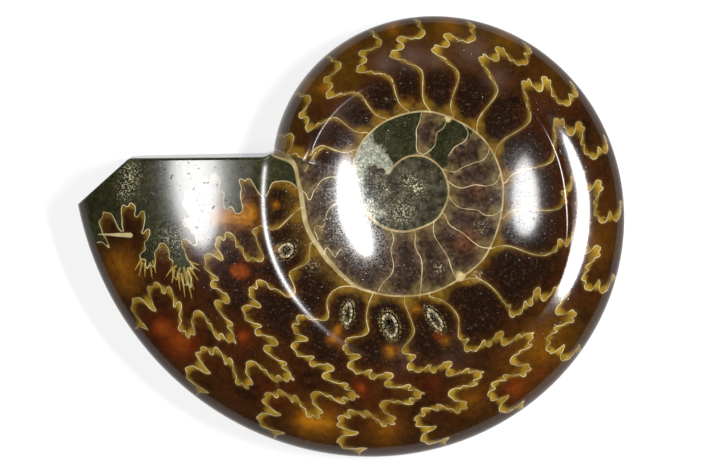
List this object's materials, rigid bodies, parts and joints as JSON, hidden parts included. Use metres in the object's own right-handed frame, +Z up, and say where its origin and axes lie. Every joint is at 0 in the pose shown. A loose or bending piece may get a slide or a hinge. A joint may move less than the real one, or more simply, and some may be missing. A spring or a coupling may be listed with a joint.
{
  "type": "polished ammonite fossil dish",
  "caption": "Polished ammonite ground into a shallow dish, with chamber walls in its bowl, frilled suture lines outside it and a sawn mouth.",
  "frame": {"origin": "on the surface the dish rests on, under the middle of its outline", "axes": "+X from the sawn corner of the mouth to the far side of the coil, +Y towards the small side of the coil, +Z up out of the bowl"},
  "size_m": [0.1601, 0.1293, 0.0338],
  "materials": {
    "polished_fossil": "high polish, brown and amber calcite with cream suture lines and dark green-grey filled mud",
    "calcite_crystals": "small pale broken crystals, glittering"
  },
  "bodies": {
    "root": {"fossil_dish": "polished_fossil", "crystal_crust_slit": "calcite_crystals", "crystal_crust_pocket": "calcite_crystals", "crystal_crust_seam": "calcite_crystals", "crystal_crust_druse": "calcite_crystals"}
  },
  "joints": []
}
